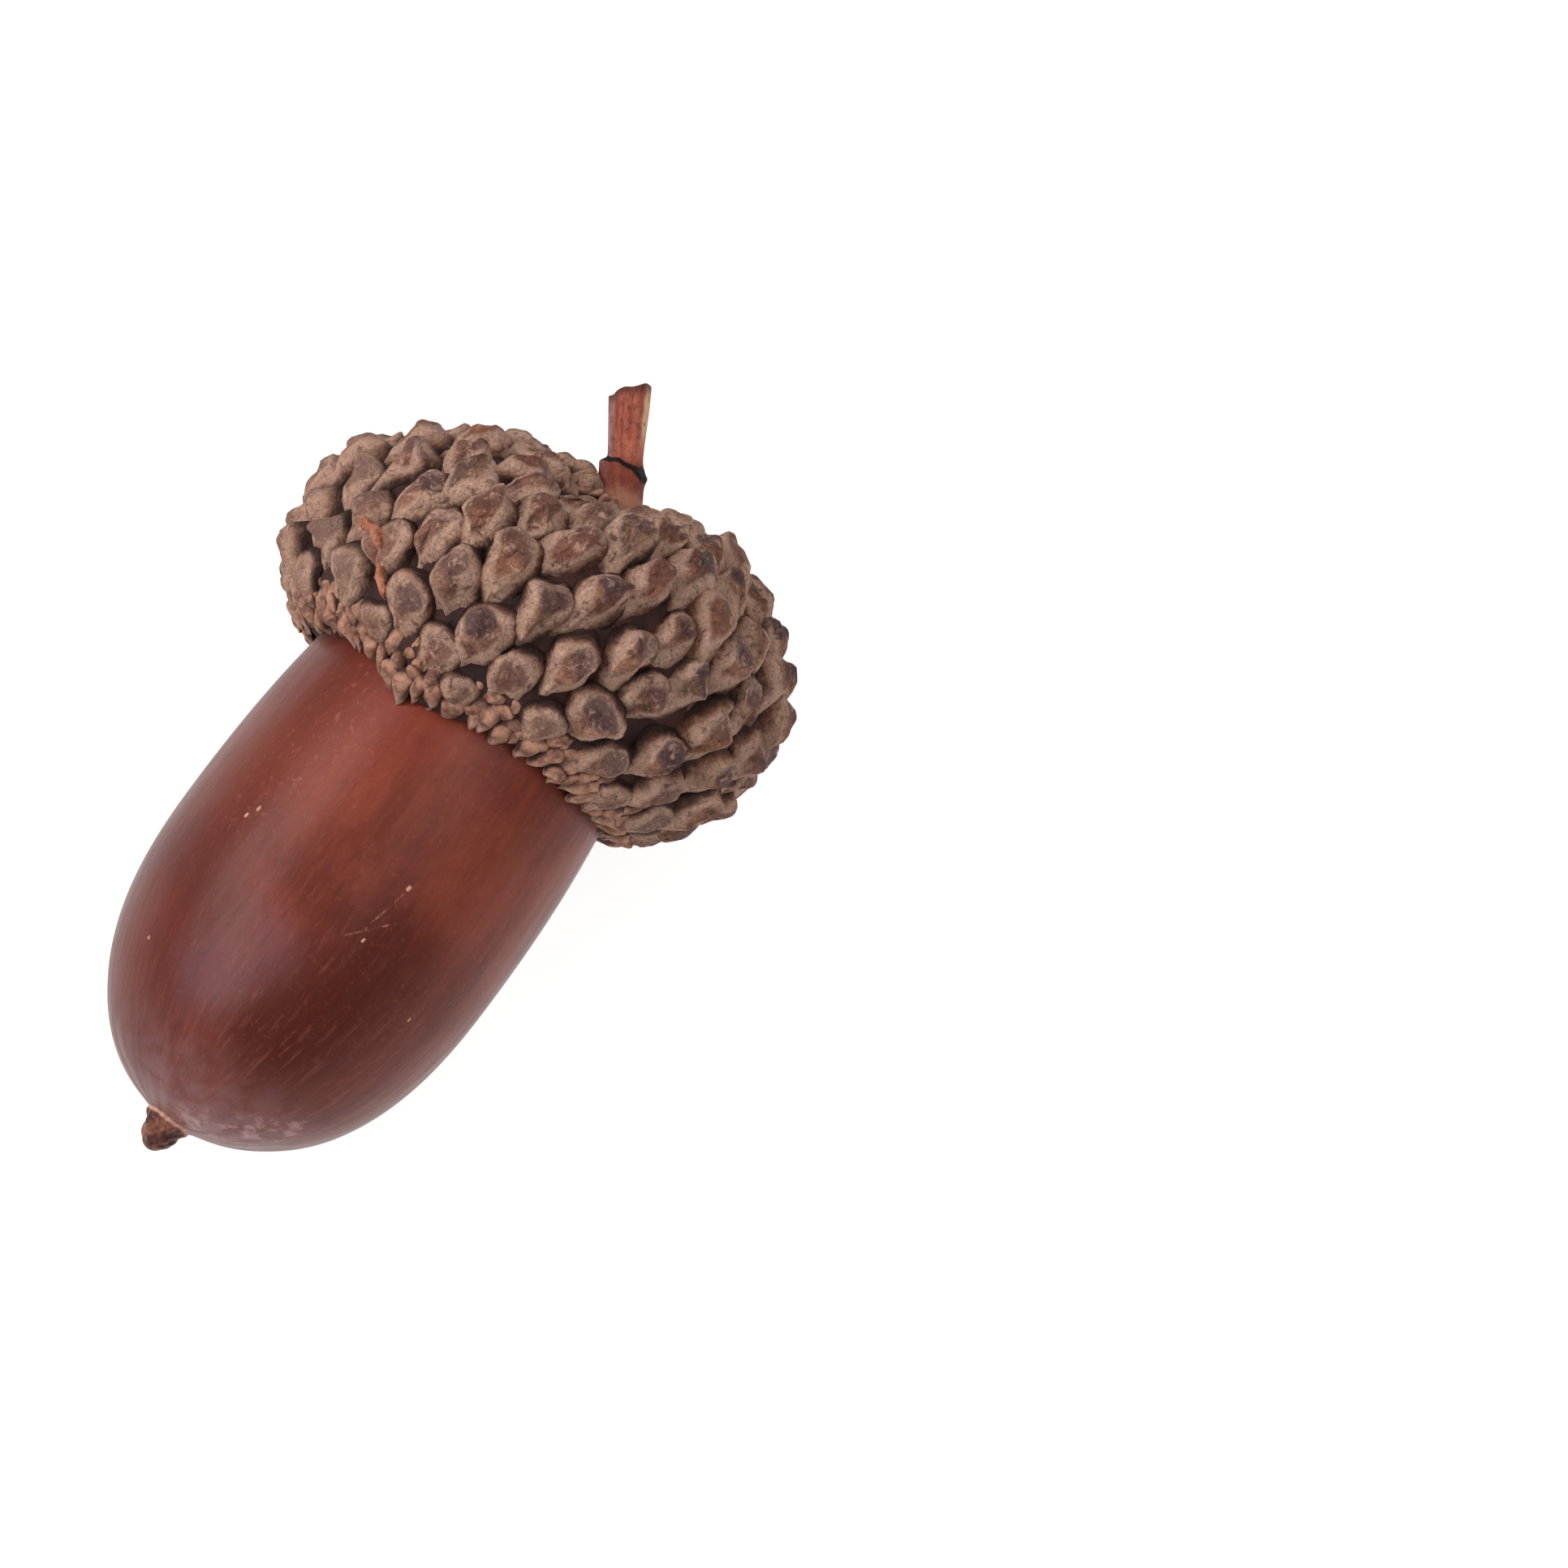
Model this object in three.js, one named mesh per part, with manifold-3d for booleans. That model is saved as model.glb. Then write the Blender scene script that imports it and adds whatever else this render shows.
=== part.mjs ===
// An acorn lying on its side: a smooth nut, the warty cap that grips it, and the stub of stalk that the cap
// grew on. Millimetres, +Z up, with the surface it lies on at Z = 0. The nut's beak points towards -X.
//
// Every piece is made in the acorn's own frame: +Y runs along the nut's axis from the tip of the beak to the
// stalk, and +Z is the side that faces up. The group at the end lays that frame down on the surface.

import * as THREE from "three";
import { mergeVertices } from "three/addons/utils/BufferGeometryUtils.js";
import Module from "manifold-3d";

const wasm = await Module();
wasm.setup();

// The nut
const NUT_LENGTH = 29.2; // tip of the beak to the scar at the base
const NUT_RADIUS = 7.63;
const NUT_BELLY = 13.1; // height of the widest place
const BEAK_END = { reach: 11.95, bluntness: 2.55 }; // from the belly to where the dome would close
const BASE_END = { reach: 20.1, bluntness: 2.2 };
const BEAK_RADIUS = 0.7;
const BEAK_COLLAR = { height: 1.08, radius: 0.38, width: 0.26 };
const BEAK_BLEND = 0.75;
const BEAK_TOP = 2.2; // where the beak has flared into the dome
const NUT_SIDES = 36;

// The cap: an oblate dome cut off at the rim, with scales in one golden-angle spiral from stalk to rim
const CAP_CENTRE = 26.25;
const CAP_RADIUS = 11; // over the crests of the scales
const CAP_HEIGHT = 7.95;
const CAP_RIM_ANGLE = 131; // degrees from the stalk, round the dome
const CAP_HOLLOW = { depth: 2.3, across: 2.4, along: 4.5, up: 3.2 }; // from the stalk down the upper side
const CAP_LEAN = { rim: -0.3, top: 1.1 }; // how far the dome's axis stands to the side of the nut's
const CAP_POLE = 2.8; // how far round the stalk the dome is moved over with it
const CAP_SLANT = 0.03; // the rim sits higher on the nut on that side
const CAP_SIDES = 24;
const GAP = 0.3; // between the cap and what stands in it

// The scales. A pitch is the distance from one to the next, and a scale's other sizes are in pitches.
const GOLDEN_ANGLE = 137.508;
const SPIRAL_START = { angle: 8, turn: 40.4 };
const SPIRAL_END = 130;
const SCALE_PITCH = { stalk: 1.5, middle: 2.65, rim: 1.7 };
const PITCH_GROWS = [10, 40]; // degrees from the stalk
const PITCH_SHRINKS = [106, 131];
const SCALE_PACKING = 0.92; // one scale's share of the surface, over its pitch squared
const SCALE_FOOT = { length: 1.6, halfWidth: 0.7, depth: 0.72 };
const SCALE_SHOULDER = 0.62; // its outline over the foot's
const SCALE_TAPER = 0.45; // how much narrower the tip is than the stalk end
const SCALE_SWELLING = 0.42; // how much of the length lies on the stalk side of the scale's place
const SCALE_TOP = { crown: 0.05, stalkEnd: -0.08, tip: -0.28 }; // heights over the crests
const CROWN_SHIFT = 0.15; // from the middle towards the stalk
const SCALE_SIDES = 6;
const DOME_DEPTH = 0.44;
const RIM_THINNING = 0.55; // how much thinner the scales are at the rim
const SCALES_THIN = [100, 131];
const SCALE_JITTER = 0.1;

// The stalk
const STALK_RADIUS = 0.74;
const STALK_FOOT_RADIUS = 0.83;
const STALK_LENGTH = 5.1;
const STALK_ROOT = 1.6; // how deep it stands in the cap
const STALK_RING = { height: 1.7, rise: 0.16, width: 0.16 };
const STALK_LEAN = 33; // degrees away from the nut's axis
const STALK_BASE = new THREE.Vector3(-0.3, 32.8, 0);
const STALK_SIDES = 14;
const STALK_BREAK = { slope: 22, drop: 0.35 };

// How it lies
const REST_TILT = 11.8; // the beak end hangs lower, because the cap is wider than the nut
const TIP = new THREE.Vector3(-18.25, -0.15, 5.19); // where the beak ends, over the surface
const SURFACE = 200; // the side of the block under the surface

const radians = THREE.MathUtils.degToRad;
const degrees = THREE.MathUtils.radToDeg;
const { lerp, smoothstep } = THREE.MathUtils;

// A repeatable draw between -1 and 1 for scale k.
function draw(k, channel) {
  const x = Math.sin(k * 12.9898 + channel * 78.233) * 43758.5453;
  return 2 * (x - Math.floor(x)) - 1;
}

// A closed three.js geometry as a manifold-3d solid.
function solid(geometry) {
  const shape = geometry.clone();
  shape.deleteAttribute("normal");
  shape.deleteAttribute("uv");
  const merged = mergeVertices(shape, 1e-4);
  return new wasm.Manifold(
    new wasm.Mesh({
      numProp: 3,
      vertProperties: new Float32Array(merged.attributes.position.array),
      triVerts: new Uint32Array(merged.index.array),
    }),
  );
}

// The largest body of a manifold-3d solid as a three.js geometry: pockets that the scales seal are filled.
function geometryOf(shape) {
  const bodies = shape.decompose().sort((a, b) => b.volume() - a.volume());
  const mesh = bodies[0].getMesh();
  const geometry = new THREE.BufferGeometry();
  geometry.setAttribute("position", new THREE.BufferAttribute(mesh.vertProperties, mesh.numProp));
  geometry.setIndex(new THREE.BufferAttribute(mesh.triVerts, 1));
  return geometry;
}

// A body of revolution about Y from heights and a radius for each, closed by a flat disc at both ends.
function turned(heights, radiusAt, sides) {
  const profile = heights.map((y) => new THREE.Vector2(radiusAt(y), y));
  profile.unshift(new THREE.Vector2(0, heights[0]));
  profile.push(new THREE.Vector2(0, heights.at(-1)));
  return new THREE.LatheGeometry(profile, sides);
}

// A bell of height 1 round 0.
function bell(x) {
  return Math.exp(-(x ** 2));
}

// Values from first to last in steps, closer together at the first where power is over 1.
function spread(first, last, steps, power = 1) {
  return Array.from({ length: steps + 1 }, (_, i) => lerp(first, last, (i / steps) ** power));
}

// The nut's radius at height y: a blunt dome on each side of the belly, blended into the beak.
function nutRadius(y) {
  const end = y < NUT_BELLY ? BEAK_END : BASE_END;
  const along = Math.min(1, Math.abs(y - NUT_BELLY) / end.reach);
  const dome = NUT_RADIUS * Math.sqrt(1 - along ** end.bluntness);
  if (y > NUT_BELLY) return dome;
  const beak = BEAK_RADIUS + BEAK_COLLAR.radius * bell((y - BEAK_COLLAR.height) / BEAK_COLLAR.width);
  const apart = Math.hypot(dome - beak, BEAK_BLEND);
  return (dome + beak + apart) / 2 - BEAK_BLEND ** 2 / 4 / apart;
}

// The nut, or with a gap the space that it takes up in the cap.
function nutSolid(gap = 0) {
  const heights = [...spread(0, BEAK_TOP, 9), ...spread(BEAK_TOP, NUT_LENGTH, 18, 1.2).slice(1)];
  heights[heights.length - 1] += gap;
  return solid(turned(heights, (y) => nutRadius(Math.min(y, NUT_LENGTH)) + gap, NUT_SIDES));
}

// A point of the round dome, moved to where the lopsided cap has it: aside, more so towards the stalk, and down
// into the hollow.
function lopsided(point) {
  const rim = CAP_CENTRE + CAP_HEIGHT * Math.cos(radians(CAP_RIM_ANGLE));
  const share = (point.y - rim) / (CAP_CENTRE + CAP_HEIGHT - rim);
  const aside = lerp(CAP_LEAN.rim, CAP_LEAN.top, share ** 2);
  const x = point.x + lerp(aside, STALK_BASE.x, bell(Math.hypot(point.x, point.z) / CAP_POLE));
  const { depth, across, along, up } = CAP_HOLLOW;
  const dip = depth * bell(Math.hypot((x - STALK_BASE.x) / across, (point.z - up) / along));
  return new THREE.Vector3(x, point.y + CAP_SLANT * x - dip, point.z);
}

// The round dome's outline at a depth under the crests of the scales: how far out and how high at an angle.
function domeOutline(angle, depth) {
  const out = (CAP_RADIUS - depth) * Math.sin(radians(angle));
  return new THREE.Vector2(out, CAP_CENTRE + (CAP_HEIGHT - depth) * Math.cos(radians(angle)));
}

// A point on the crests of the cap, angle degrees from the stalk and turn degrees round it from +Z.
function capPoint(angle, turn) {
  const { x: out, y } = domeOutline(angle, 0);
  return lopsided(new THREE.Vector3(out * Math.sin(radians(turn)), y, out * Math.cos(radians(turn))));
}

// The body of the cap, under the valleys between the scales.
function capDome() {
  const angles = spread(CAP_RIM_ANGLE, 0, 11);
  const profile = angles.map((angle) => domeOutline(angle, DOME_DEPTH * scaleSize(angle)));
  profile.unshift(new THREE.Vector2(0, profile[0].y));
  const dome = new THREE.LatheGeometry(profile, CAP_SIDES);
  const position = dome.attributes.position;
  for (let i = 0; i < position.count; i++) {
    position.setXYZ(i, ...lopsided(new THREE.Vector3().fromBufferAttribute(position, i)));
  }
  return dome;
}

// The spacing of the scales: small round the stalk, large on the dome, small again at the rim.
function pitchAt(angle) {
  const { stalk, middle, rim } = SCALE_PITCH;
  const grown = lerp(stalk, middle, smoothstep(angle, ...PITCH_GROWS));
  return lerp(grown, rim, smoothstep(angle, ...PITCH_SHRINKS));
}

// The angle from the stalk of each scale in turn, so that each one has its own share of the dome's surface.
function scaleAngles() {
  const step = 0.25;
  const angles = [];
  let share = 0;
  for (let angle = SPIRAL_START.angle; angle < SPIRAL_END; angle += step) {
    const here = domeOutline(angle, 0);
    const band = 2 * Math.PI * here.x * here.distanceTo(domeOutline(angle + step, 0));
    const before = share;
    share += band / (SCALE_PACKING * pitchAt(angle) ** 2);
    for (let k = Math.ceil(before); k < share; k++) {
      angles.push(angle + (step * (k - before)) / (share - before));
    }
  }
  return angles;
}

// How thick the scales are at an angle from the stalk: they lie thin and close on the rim.
function scaleSize(angle) {
  return pitchAt(angle) * (1 - RIM_THINNING * smoothstep(angle, ...SCALES_THIN));
}

// One scale: a low cone drawn out to a teardrop, swollen at the stalk end and tapering to a tip at the rim
// end. Its foot is wide, so that neighbours meet in a valley. Y points towards the stalk, and Z = 0 is the
// height of the crests.
function scaleGeometry(angle, k) {
  const scale = new THREE.CylinderGeometry(SCALE_SHOULDER, 1, 1, SCALE_SIDES, 1).rotateX(Math.PI / 2);
  const position = scale.attributes.position;
  const length = pitchAt(angle) * SCALE_FOOT.length * (1 + SCALE_JITTER * draw(k, 1));
  const halfWidth = pitchAt(angle) * SCALE_FOOT.halfWidth * (1 + SCALE_JITTER * draw(k, 2));
  const crest = SCALE_JITTER * draw(k, 3);
  for (let i = 0; i < position.count; i++) {
    const along = (1 - position.getY(i)) / 2; // 0 at the stalk end, 1 at the tip
    const crown = Math.hypot(position.getX(i), position.getY(i)) < SCALE_SHOULDER / 2;
    const top = crest + (crown ? SCALE_TOP.crown : lerp(SCALE_TOP.stalkEnd, SCALE_TOP.tip, along));
    const x = position.getX(i) * halfWidth * (1 - SCALE_TAPER * along);
    const y = (SCALE_SWELLING - along) * length + (crown ? CROWN_SHIFT * pitchAt(angle) : 0);
    position.setXYZ(i, x, y, scaleSize(angle) * (position.getZ(i) < 0 ? -SCALE_FOOT.depth : top));
  }
  return scale;
}

// The frame of the scale at an angle and turn: X round the cap, Y towards the stalk, Z out of the dome.
function scalePlace(angle, turn) {
  const at = capPoint(angle, turn);
  const towardsStalk = capPoint(angle - 1, turn).sub(at).normalize();
  const round = capPoint(angle, turn + 1).sub(at).normalize();
  const out = new THREE.Vector3().crossVectors(round, towardsStalk).normalize();
  return new THREE.Matrix4().makeBasis(round, towardsStalk, out).setPosition(at);
}

function capScales() {
  return scaleAngles().map((angle, k) => {
    const wobble = SCALE_JITTER * degrees(pitchAt(angle) / CAP_RADIUS);
    const turn = SPIRAL_START.turn - k * GOLDEN_ANGLE + wobble * draw(k, 4);
    const place = scalePlace(angle + wobble * draw(k, 5), turn);
    return solid(scaleGeometry(angle, k).applyMatrix4(place));
  });
}

// The stalk's radius at a distance from its base: a little stouter below the ring.
function stalkRadius(along) {
  const { height, rise, width } = STALK_RING;
  const stem = lerp(STALK_FOOT_RADIUS, STALK_RADIUS, smoothstep(along, height - width, height + width));
  return stem + rise * bell((along - height) / width);
}

// The frame of the stalk: Y runs out along it from its base.
function stalkPlace() {
  return new THREE.Matrix4().makeRotationZ(radians(STALK_LEAN)).setPosition(STALK_BASE);
}

function stalkSolid() {
  const { height, width } = STALK_RING;
  const heights = [-STALK_ROOT, ...spread(height - 2 * width, height + 2 * width, 4), STALK_LENGTH];
  const beyond = new THREE.BoxGeometry(STALK_LENGTH, STALK_LENGTH, STALK_LENGTH);
  beyond.translate(0, STALK_LENGTH / 2, 0).rotateZ(radians(STALK_BREAK.slope));
  beyond.translate(0, STALK_LENGTH - STALK_BREAK.drop, 0).applyMatrix4(stalkPlace());
  return solid(turned(heights, stalkRadius, STALK_SIDES).applyMatrix4(stalkPlace())).subtract(solid(beyond));
}

// The hole in the cap that the stalk stands in.
function stalkSocket() {
  const socket = turned([-STALK_ROOT - GAP, STALK_LENGTH], () => STALK_FOOT_RADIUS + GAP, STALK_SIDES);
  return solid(socket.applyMatrix4(stalkPlace()));
}

// The group that lays the acorn down: its Y axis tips up from +X, and its X axis becomes -Y.
const acorn = new THREE.Group();
const tilt = radians(REST_TILT);
acorn.quaternion.setFromRotationMatrix(
  new THREE.Matrix4().makeBasis(
    new THREE.Vector3(0, -1, 0),
    new THREE.Vector3(Math.cos(tilt), 0, Math.sin(tilt)),
    new THREE.Vector3(-Math.sin(tilt), 0, Math.cos(tilt)),
  ),
);
acorn.position.copy(TIP);
acorn.updateMatrixWorld(true);

// Everything under the surface that the acorn lies on, in the acorn's own frame.
function underSurface() {
  const block = new THREE.BoxGeometry(SURFACE, SURFACE, SURFACE).translate(0, 0, -SURFACE / 2);
  return solid(block.applyMatrix4(acorn.matrixWorld.clone().invert()));
}

function addPiece(name, shape, colour, roughness) {
  const looks = { color: colour, roughness, metalness: 0, flatShading: true };
  const mesh = new THREE.Mesh(geometryOf(shape), new THREE.MeshStandardMaterial(looks));
  mesh.name = name;
  acorn.add(mesh);
}

// Small flat spots on the nut and on the lowest scales let it lie still.
const below = underSurface();
const scalyDome = wasm.Manifold.union([solid(capDome()), ...capScales()]);
const cap = scalyDome.subtract(nutSolid(GAP)).subtract(stalkSocket());

addPiece("nut", nutSolid().subtract(below), 0x8e5345, 0.4);
addPiece("cap", cap.subtract(below), 0x7e615c, 0.9);
addPiece("stalk", stalkSolid(), 0xa25e4c, 0.7);

const part = new THREE.Group();
part.add(acorn);

export default part;
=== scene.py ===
import bpy
import numpy as np
from mathutils import Matrix, Vector


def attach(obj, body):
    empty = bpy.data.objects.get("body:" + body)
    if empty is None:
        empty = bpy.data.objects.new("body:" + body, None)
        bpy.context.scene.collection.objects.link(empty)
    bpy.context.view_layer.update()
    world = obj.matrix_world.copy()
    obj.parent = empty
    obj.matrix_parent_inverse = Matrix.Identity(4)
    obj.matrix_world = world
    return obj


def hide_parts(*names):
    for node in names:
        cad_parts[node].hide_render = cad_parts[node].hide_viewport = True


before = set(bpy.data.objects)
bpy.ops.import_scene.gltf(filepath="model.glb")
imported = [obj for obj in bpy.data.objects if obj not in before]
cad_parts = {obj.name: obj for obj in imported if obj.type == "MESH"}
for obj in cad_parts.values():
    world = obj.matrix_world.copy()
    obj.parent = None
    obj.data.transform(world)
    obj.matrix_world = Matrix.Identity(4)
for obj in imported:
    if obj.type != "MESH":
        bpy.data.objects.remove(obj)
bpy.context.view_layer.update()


# The nut
# A hard, smooth shell round one seed, swollen at the belly and drawn out into a short blunt beak. It grew
# in the cap, which still holds its base, and it lies on a small spot under the belly. Sizes are in mm, in
# the acorn's own frame: Y runs from the end of the beak to the stalk, and Z is the side that faces up.
NUT_LENGTH = 29.2
NUT_RADIUS = 7.63
BELLY_HEIGHT = 13.1
BELLY_TO_TIP, TIP_BLUNTNESS = 11.95, 2.55
BELLY_TO_BASE, BASE_BLUNTNESS = 20.1, 2.2
BEAK_RADIUS, BEAK_FILLET = 0.7, 0.75
BEAK_END, BEAK_TOP, BEAK_BEND = -0.3, 2.6, -0.17
COLLAR_HEIGHT, COLLAR_SWELL, COLLAR_WIDTH = 1.08, 0.28, 0.3
RIB_DEPTH, WRINKLE_DEPTH, OUT_OF_ROUND = 0.016, 0.045, 0.05
NUT_COLUMNS = 200
REST_TILT = np.radians(11.8)
BEAK_PLACE = np.array((-18.25, -0.15, 5.19))
WHOLE_TURN = 2 * np.pi


def bell(x):
    """A bell curve of height 1 round 0."""
    return np.exp(-np.square(x))


def eased(x, low, high):
    """0 on low's side, 1 on high's side, and an S-curve between."""
    share = np.clip((x - low) / (high - low), 0, 1)
    return share * share * (3 - 2 * share)


def laid_down(points):
    """The acorn's own frame laid on the surface: Y tips up from +X by the rest tilt, X becomes -Y, what
    would be under the surface is pressed flat on it, and millimetres become metres."""
    sine, cosine = np.sin(REST_TILT), np.cos(REST_TILT)
    x, y, z = np.moveaxis(points, -1, 0)
    lying = np.stack((y * cosine - z * sine, -x, y * sine + z * cosine), -1) + BEAK_PLACE
    lying[..., 2] = np.maximum(lying[..., 2], 0)
    return lying / 1000


def relief(points, length, seed, waves=14):
    """Soft random lumps, about 1 high: a sum of plane waves of about that length, in seeded directions."""
    random = np.random.default_rng(seed)
    ways = random.normal(size=(waves, 3))
    ways /= np.linalg.norm(ways, axis=1, keepdims=True) * length * random.uniform(0.7, 1.4, (waves, 1))
    return np.sin(WHOLE_TURN * (points @ ways.T + random.uniform(0, 1, waves))).sum(-1) * (2 / waves) ** 0.5


def nut_radius(height):
    """A blunt dome on each side of the belly, 1 minus a power of the way to its end, under a root. Towards
    the tip it runs with a fillet into the beak, a thin stem with a bell-shaped collar."""
    lower = height < BELLY_HEIGHT
    way = np.minimum(1, np.abs(height - BELLY_HEIGHT) / np.where(lower, BELLY_TO_TIP, BELLY_TO_BASE))
    dome = NUT_RADIUS * np.sqrt(1 - way ** np.where(lower, TIP_BLUNTNESS, BASE_BLUNTNESS))
    beak = BEAK_RADIUS + COLLAR_SWELL * bell((height - COLLAR_HEIGHT) / COLLAR_WIDTH)
    apart = np.hypot(dome - beak, BEAK_FILLET)
    return np.where(lower, (dome + beak + apart) / 2 - BEAK_FILLET**2 / 4 / apart, dome)


def nut_skin(turn, height):
    """The turned outline, with lengthwise ribs, which are sums of cosines round it that fade out at both
    ends, and a little out of round. Over the collar are short wrinkles. The stub under it is lumpy, with
    three lobes at its end, which a root of the height rounds off, and the whole beak bends aside."""
    random = np.random.default_rng(5)
    ribs = sum(
        random.uniform(0.3, 1) * np.cos(count * turn + random.uniform(0, 6) + 0.05 * height) / count**0.5
        for count in (5, 8, 13, 19, 29, 41)
    )
    fade = np.sin(np.pi * np.clip(height / NUT_LENGTH, 0, 1)) ** 0.7
    radius = nut_radius(height) + RIB_DEPTH * ribs * fade + OUT_OF_ROUND * np.cos(2 * turn + 0.7) * fade
    stub = eased(height, 1.15, 0.6)
    lumps = 0.07 * np.cos(5 * turn + 6 * height) + 0.05 * np.cos(9 * turn - 9 * height + 1)
    lobes = 0.06 * np.cos(3 * turn + 0.9) * eased(height, 0.5, 0)
    rounded_end = np.sqrt(np.clip((height - BEAK_END) / 0.65, 0, 1))
    radius = radius * (1 + stub * lumps) * (1 + lobes) * rounded_end
    wrinkles = np.cos(17 * turn + np.sin(3 * height)) * (0.6 + 0.4 * np.cos(7 * turn))
    radius = radius + WRINKLE_DEPTH * eased(height, 4.2, 1.4) * (1 - stub) * wrinkles
    aside = BEAK_BEND * eased(height, 4.5, 1.0)
    return np.stack((radius * np.sin(turn) + aside, height, radius * np.cos(turn)), -1)


def closed_piece(name, rings, ends, marks=None):
    """A mesh of closed forms. rings holds, for each form, rings of points from one end to the other, and
    ends its two end points. Quads join the rings and fans close the ends. The first form's volume, summed
    over its faces, tells whether they have to be turned to face outwards. marks are values kept at the
    points."""
    forms, rows, columns = rings.shape[:3]
    points = np.concatenate((ends[:, :1], rings.reshape(forms, -1, 3), ends[:, 1:]), 1)
    across = np.arange(columns)
    beside = (across + 1) % columns
    start = 1 + np.arange(rows)[:, None] * columns
    here, there = start + across, start + beside
    quads = np.stack((here[:-1], there[:-1], there[1:], here[1:]), -1).reshape(-1, 4)
    first = np.stack((np.zeros(columns, int), there[0], here[0]), -1)
    last = np.stack((np.full(columns, rows * columns + 1), here[-1], there[-1]), -1)
    fans = np.concatenate((first, last))
    a, b, c = (points[0, fans[:, i]] for i in range(3))
    p, q, r, s = (points[0, quads[:, i]] for i in range(4))
    volume = (a * np.cross(b, c)).sum() + (p * np.cross(q, r)).sum() + (p * np.cross(r, s)).sum()
    if volume < 0:
        quads, fans = quads[:, ::-1], fans[:, ::-1]
    step = np.arange(forms)[:, None, None] * points.shape[1]
    faces = (quads + step).reshape(-1, 4).tolist() + (fans + step).reshape(-1, 3).tolist()
    mesh = bpy.data.meshes.new(name)
    mesh.from_pydata(laid_down(points).reshape(-1, 3).tolist(), [], faces)
    mesh.shade_smooth()
    for mark, (ring_values, end_values) in (marks or {}).items():
        ring_values = np.broadcast_to(ring_values, (forms, rows, columns)).reshape(forms, -1)
        end_values = np.broadcast_to(end_values, (forms, 2))
        values = np.concatenate((end_values[:, :1], ring_values, end_values[:, 1:]), 1)
        kept = mesh.attributes.new(mark, "FLOAT", "POINT")
        kept.data.foreach_set("value", values.astype(np.float32).ravel())
    piece = bpy.data.objects.new(name, mesh)
    bpy.context.scene.collection.objects.link(piece)
    return piece


def srgb(red, green, blue):
    """A colour read off a screen, as the light that a surface returns: the screen's own curve, undone."""
    values = np.array((red, green, blue)) / 255
    linear = np.where(values <= 0.04045, values / 12.92, ((values + 0.055) / 1.055) ** 2.4)
    return (*linear.tolist(), 1.0)


class Finish:
    """A material built from nodes. Most methods add a node or a few, and return the socket they give
    out."""

    def __init__(self, name):
        self.material = bpy.data.materials.new(name)
        self.material.use_nodes = True
        self.shader = self.material.node_tree.nodes["Principled BSDF"]
        self.colour = None

    def add(self, kind, settings, inputs, output=0):
        """One node: its settings, and for each input a value, or a socket to link to it."""
        made = self.material.node_tree.nodes.new("ShaderNode" + kind)
        for key, value in settings.items():
            setattr(made, key, value)
        for key, value in inputs.items():
            if isinstance(value, bpy.types.NodeSocket):
                self.material.node_tree.links.new(value, made.inputs[key])
            elif value is not None:
                made.inputs[key].default_value = value
        return made.outputs[output]

    def mark(self, name):
        """A value kept at the mesh's points."""
        return self.add("Attribute", {"attribute_name": name}, {}, "Fac")

    def place(self, stretch=(1, 1, 1), turn=(0, 0, 0)):
        """Millimetres from the middle of the piece's own space, turned and then stretched."""
        own = self.add("TexCoord", {}, {}, "Object")
        turned = self.add("Mapping", {"vector_type": "POINT"}, {"Vector": own, "Rotation": turn})
        scaled = tuple(1000 * s for s in stretch)
        return self.add("Mapping", {"vector_type": "POINT"}, {"Vector": turned, "Scale": scaled})

    def noise(self, place, fineness, detail=3.0, roughness=0.5, warp=0.0):
        """Cloudy noise round 0.5, with fineness lumps to the millimetre."""
        inputs = {"Vector": place, "Scale": fineness, "Detail": detail, "Roughness": roughness}
        return self.add("TexNoise", {}, inputs | {"Distortion": warp}, "Fac")

    def between(self, value, low, high, to_low=0.0, to_high=1.0):
        """An S-curve from to_low, on low's side, to to_high, on high's side."""
        inputs = {"Value": value, "From Min": low, "From Max": high, "To Min": to_low, "To Max": to_high}
        return self.add("MapRange", {"interpolation_type": "SMOOTHSTEP"}, inputs)

    def sum(self, first, second):
        """first plus second."""
        return self.add("Math", {"operation": "ADD"}, {0: first, 1: second})

    def product(self, first, second):
        """first times second."""
        return self.add("Math", {"operation": "MULTIPLY"}, {0: first, 1: second})

    def mix(self, share, first, second):
        """A share of the second colour in the first."""
        return self.add("Mix", {"data_type": "RGBA"}, {0: share, 6: first, 7: second}, 2)

    def paint(self, colour, share, strength=1.0):
        """Lays a colour over the colour so far, as thickly as share times strength."""
        if strength < 1:
            share = self.product(share, strength)
        self.colour = self.mix(share, self.colour, colour)

    def near(self, first, last, inner, outer):
        """1 within inner millimetres of the line between two points of the acorn, and 0 beyond outer."""
        first, last = laid_down(np.array((first, last), float)) * 1000
        way = last - first
        from_first = self.add("VectorMath", {"operation": "SUBTRACT"}, {0: self.place(), 1: first})
        per_length = {0: from_first, 1: way / (way @ way)}
        share = self.add("VectorMath", {"operation": "DOT_PRODUCT"}, per_length, "Value")
        share = self.add("Clamp", {}, {0: share})
        nearest = self.add("VectorMath", {"operation": "SCALE"}, {0: way, "Scale": share})
        distance = self.add("VectorMath", {"operation": "DISTANCE"}, {0: from_first, 1: nearest}, "Value")
        return self.between(distance, outer, inner)

    def bump(self, height, depth, under=None):
        """Relief as deep as depth, in millimetres, where height goes from 0 to 1, over the relief under
        it."""
        inputs = {"Height": height, "Distance": depth / 1000, "Strength": 1.0, "Normal": under}
        return self.add("Bump", {}, inputs, "Normal")

    def set(self, **inputs):
        """Sets the shader's own sockets, named with _ for a space, or links to them."""
        for key, value in inputs.items():
            socket = self.shader.inputs[key.replace("_", " ")]
            if isinstance(value, bpy.types.NodeSocket):
                self.material.node_tree.links.new(value, socket)
            else:
                socket.default_value = value


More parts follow.
